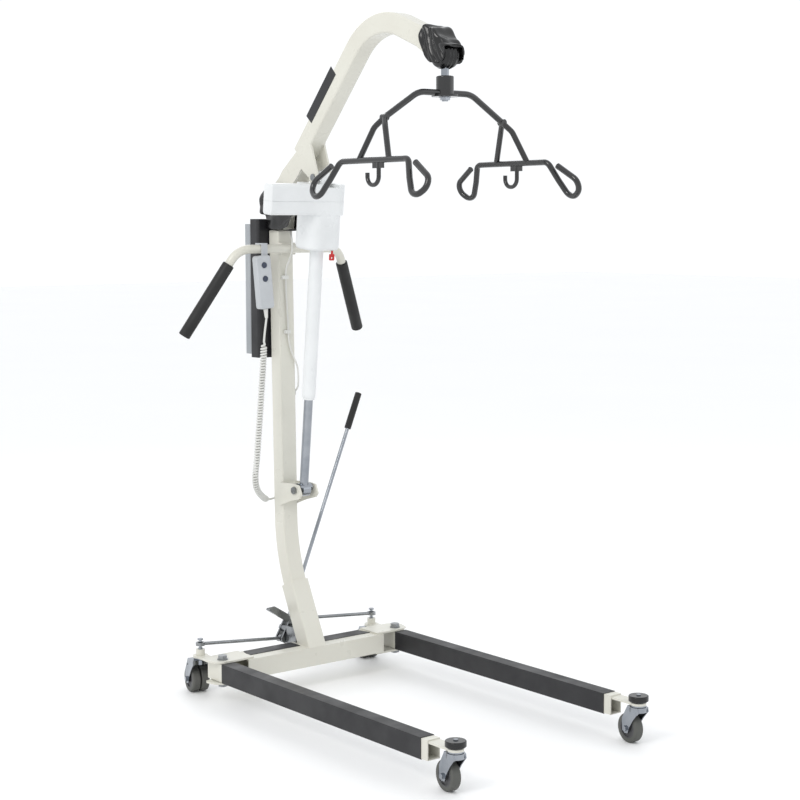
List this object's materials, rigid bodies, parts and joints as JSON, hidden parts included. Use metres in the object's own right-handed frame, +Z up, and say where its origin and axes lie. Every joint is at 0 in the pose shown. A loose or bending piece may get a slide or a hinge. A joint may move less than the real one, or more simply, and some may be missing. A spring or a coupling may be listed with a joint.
{
  "type": "patient lift hoist",
  "caption": "Mobile electric patient lift: spreading legs on swivel casters, bent mast, actuator driven boom, swivelling spreader bar with sling hooks, push handle and control box.",
  "frame": {"origin": "on the floor under the middle of the whole hoist, half way between the bumpers' front and the battery's rear", "axes": "+Z up; -Y is the front, where the legs and the boom point; +X is to the user's right when they stand behind the push handle and look along the legs"},
  "size_m": [0.6854, 1.2585, 1.8551],
  "materials": {
    "frame_paint": "semi_gloss",
    "black_paint": "gloss",
    "sleeve_grey": "satin",
    "grip_rubber": "matte",
    "boot_rubber": "satin",
    "white_plastic": "satin",
    "box_plastic": "satin",
    "battery_plastic": "satin",
    "silver_plastic": "satin",
    "button_plastic": "satin",
    "red_plastic": "satin",
    "cord_white": "satin",
    "steel": "brushed",
    "chrome": "polished",
    "tyre_grey": "matte",
    "wheel_plastic": "satin"
  },
  "bodies": {
    "base": {"base_frame": "frame_paint", "step_pads": "sleeve_grey", "pivot_bolts": "steel", "rocker_bracket": "steel", "mast": "frame_paint", "mast_head": "frame_paint", "mast_boot": "boot_rubber", "push_bar": "frame_paint", "handle_grips": "grip_rubber", "control_box": "box_plastic", "battery_pack": "battery_plastic", "actuator_bracket": "frame_paint", "actuator_pin": "steel", "cable_clips": "cord_white", "motor_lead": "cord_white", "handset": "silver_plastic", "handset_cord": "cord_white", "handset_cord_tail": "cord_white", "cord_sleeve": "cord_white", "cord_plug": "box_plastic"},
    "button_up": {"button_up": "button_plastic"},
    "button_down": {"button_down": "button_plastic"},
    "rocker": {"rocker": "steel", "spread_lever": "chrome", "lever_grip": "grip_rubber"},
    "tie_rod_left": {"tie_rod_left": "steel"},
    "tie_rod_right": {"tie_rod_right": "steel"},
    "boom": {"boom": "frame_paint", "boom_pins": "steel", "boom_boot": "boot_rubber"},
    "hanger": {"hanger": "chrome"},
    "spreader": {"spreader_bow": "black_paint", "spreader_arm_left": "black_paint", "spreader_arm_right": "black_paint"},
    "actuator_rod": {"actuator_rod": "chrome"},
    "actuator_housing": {"actuator_tube": "white_plastic", "actuator_housing": "white_plastic", "release_tag": "red_plastic"},
    "left_leg": {"leg_tube_left": "frame_paint", "leg_sleeve_left": "sleeve_grey", "bumper_left": "boot_rubber", "caster_mounts_left": "chrome"},
    "caster_front_left": {"caster_fork_front_left": "chrome"},
    "wheel_front_left": {"wheel_tyre_front_left": "tyre_grey", "wheel_hub_front_left": "wheel_plastic"},
    "caster_rear_left": {"caster_fork_rear_left": "chrome"},
    "wheel_rear_left": {"wheel_tyre_rear_left": "tyre_grey", "wheel_hub_rear_left": "wheel_plastic"},
    "brake_left": {"brake_pedal_left": "steel"},
    "right_leg": {"leg_tube_right": "frame_paint", "leg_sleeve_right": "sleeve_grey", "bumper_right": "boot_rubber", "caster_mounts_right": "chrome"},
    "caster_front_right": {"caster_fork_front_right": "chrome"},
    "wheel_front_right": {"wheel_tyre_front_right": "tyre_grey", "wheel_hub_front_right": "wheel_plastic"},
    "caster_rear_right": {"caster_fork_rear_right": "chrome"},
    "wheel_rear_right": {"wheel_tyre_rear_right": "tyre_grey", "wheel_hub_rear_right": "wheel_plastic"},
    "brake_right": {"brake_pedal_right": "steel"}
  },
  "joints": [
    {"name": "leg_lever", "type": "hinge", "parent": "base", "child": "rocker", "pos_m": [-0.01, 0.488, 0.141], "axis": [0, -1, 0], "range_deg": [0, 46]},
    {"name": "tie_rod_left_turn", "type": "hinge", "parent": "rocker", "child": "tie_rod_left", "pos_m": [-0.025, 0.5025, 0.11502], "axis": [0, -1, 0], "range_deg": [-46, 0]},
    {"name": "tie_rod_right_turn", "type": "hinge", "parent": "rocker", "child": "tie_rod_right", "pos_m": [0.005, 0.5025, 0.16698], "axis": [0, -1, 0], "range_deg": [-46, 0]},
    {"name": "leg_spread_left", "type": "hinge", "parent": "base", "child": "left_leg", "pos_m": [-0.302, 0.388, 0.087], "axis": [0, 0, -1], "range_deg": [0, 12]},
    {"name": "leg_spread_right", "type": "hinge", "parent": "base", "child": "right_leg", "pos_m": [0.302, 0.388, 0.087], "axis": [0, 0, 1], "range_deg": [0, 12]},
    {"name": "boom_lift", "type": "hinge", "parent": "base", "child": "boom", "pos_m": [0, 0.506, 1.395], "axis": [-1, 0, 0], "range_deg": [-52, 8]},
    {"name": "actuator_tilt", "type": "hinge", "parent": "base", "child": "actuator_rod", "pos_m": [0, 0.423, 0.558], "axis": [-1, 0, 0], "range_deg": [-0.1, 0.5]},
    {"name": "actuator_extend", "type": "slide", "parent": "actuator_rod", "child": "actuator_housing", "axis": [0, -0.1051, 0.9945], "range_m": [-0.158, 0.026]},
    {"name": "hanger_swing", "type": "hinge", "parent": "boom", "child": "hanger", "pos_m": [0, -0.203, 1.728], "axis": [-1, 0, 0], "range_deg": [-8, 52]},
    {"name": "spreader_swivel", "type": "hinge", "parent": "hanger", "child": "spreader", "pos_m": [0, -0.203, 1.66], "axis": [0, 0, 1], "continuous": true},
    {"name": "button_up_press", "type": "slide", "parent": "base", "child": "button_up", "axis": [0, 1, 0], "range_m": [0, 0.002], "stiffness_N_per_m": 600},
    {"name": "button_down_press", "type": "slide", "parent": "base", "child": "button_down", "axis": [0, 1, 0], "range_m": [0, 0.002], "stiffness_N_per_m": 600},
    {"name": "caster_front_left_swivel", "type": "hinge", "parent": "left_leg", "child": "caster_front_left", "pos_m": [-0.302, -0.603, 0.09], "axis": [0, 0, 1], "continuous": true},
    {"name": "wheel_front_left_roll", "type": "hinge", "parent": "caster_front_left", "child": "wheel_front_left", "pos_m": [-0.29886, -0.57316, 0.0375], "axis": [0.9945, -0.1045, 0], "continuous": true},
    {"name": "caster_rear_left_swivel", "type": "hinge", "parent": "left_leg", "child": "caster_rear_left", "pos_m": [-0.302, 0.5025, 0.09], "axis": [0, 0, 1], "continuous": true},
    {"name": "wheel_rear_left_roll", "type": "hinge", "parent": "caster_rear_left", "child": "wheel_rear_left", "pos_m": [-0.29628, 0.53195, 0.0375], "axis": [0.9816, -0.1908, 0], "continuous": true},
    {"name": "brake_left_tip", "type": "hinge", "parent": "caster_rear_left", "child": "brake_left", "pos_m": [-0.29723, 0.52704, 0.081], "axis": [0.9816, -0.1908, 0], "range_deg": [-7, 6]},
    {"name": "caster_front_right_swivel", "type": "hinge", "parent": "right_leg", "child": "caster_front_right", "pos_m": [0.302, -0.603, 0.09], "axis": [0, 0, 1], "continuous": true},
    {"name": "wheel_front_right_roll", "type": "hinge", "parent": "caster_front_right", "child": "wheel_front_right", "pos_m": [0.30514, -0.57316, 0.0375], "axis": [0.9945, -0.1045, 0], "continuous": true},
    {"name": "caster_rear_right_swivel", "type": "hinge", "parent": "right_leg", "child": "caster_rear_right", "pos_m": [0.302, 0.5025, 0.09], "axis": [0, 0, 1], "continuous": true},
    {"name": "wheel_rear_right_roll", "type": "hinge", "parent": "caster_rear_right", "child": "wheel_rear_right", "pos_m": [0.30772, 0.53195, 0.0375], "axis": [0.9816, -0.1908, 0], "continuous": true},
    {"name": "brake_right_tip", "type": "hinge", "parent": "caster_rear_right", "child": "brake_right", "pos_m": [0.30677, 0.52704, 0.081], "axis": [0.9816, -0.1908, 0], "range_deg": [-7, 6]}
  ],
  "couplings": [
    {"joint": "tie_rod_left_turn", "follows": "leg_lever", "ratio": -1},
    {"joint": "tie_rod_right_turn", "follows": "leg_lever", "ratio": -1},
    {"joint": "leg_spread_left", "follows": "leg_lever", "ratio": 0.26087},
    {"joint": "leg_spread_right", "follows": "leg_lever", "ratio": 0.26087},
    {"joint": "actuator_tilt", "follows": "boom_lift", "ratio": -0.008},
    {"joint": "actuator_extend", "follows": "boom_lift", "m_per_rad": 0.1719},
    {"joint": "hanger_swing", "follows": "boom_lift", "ratio": -1}
  ]
}
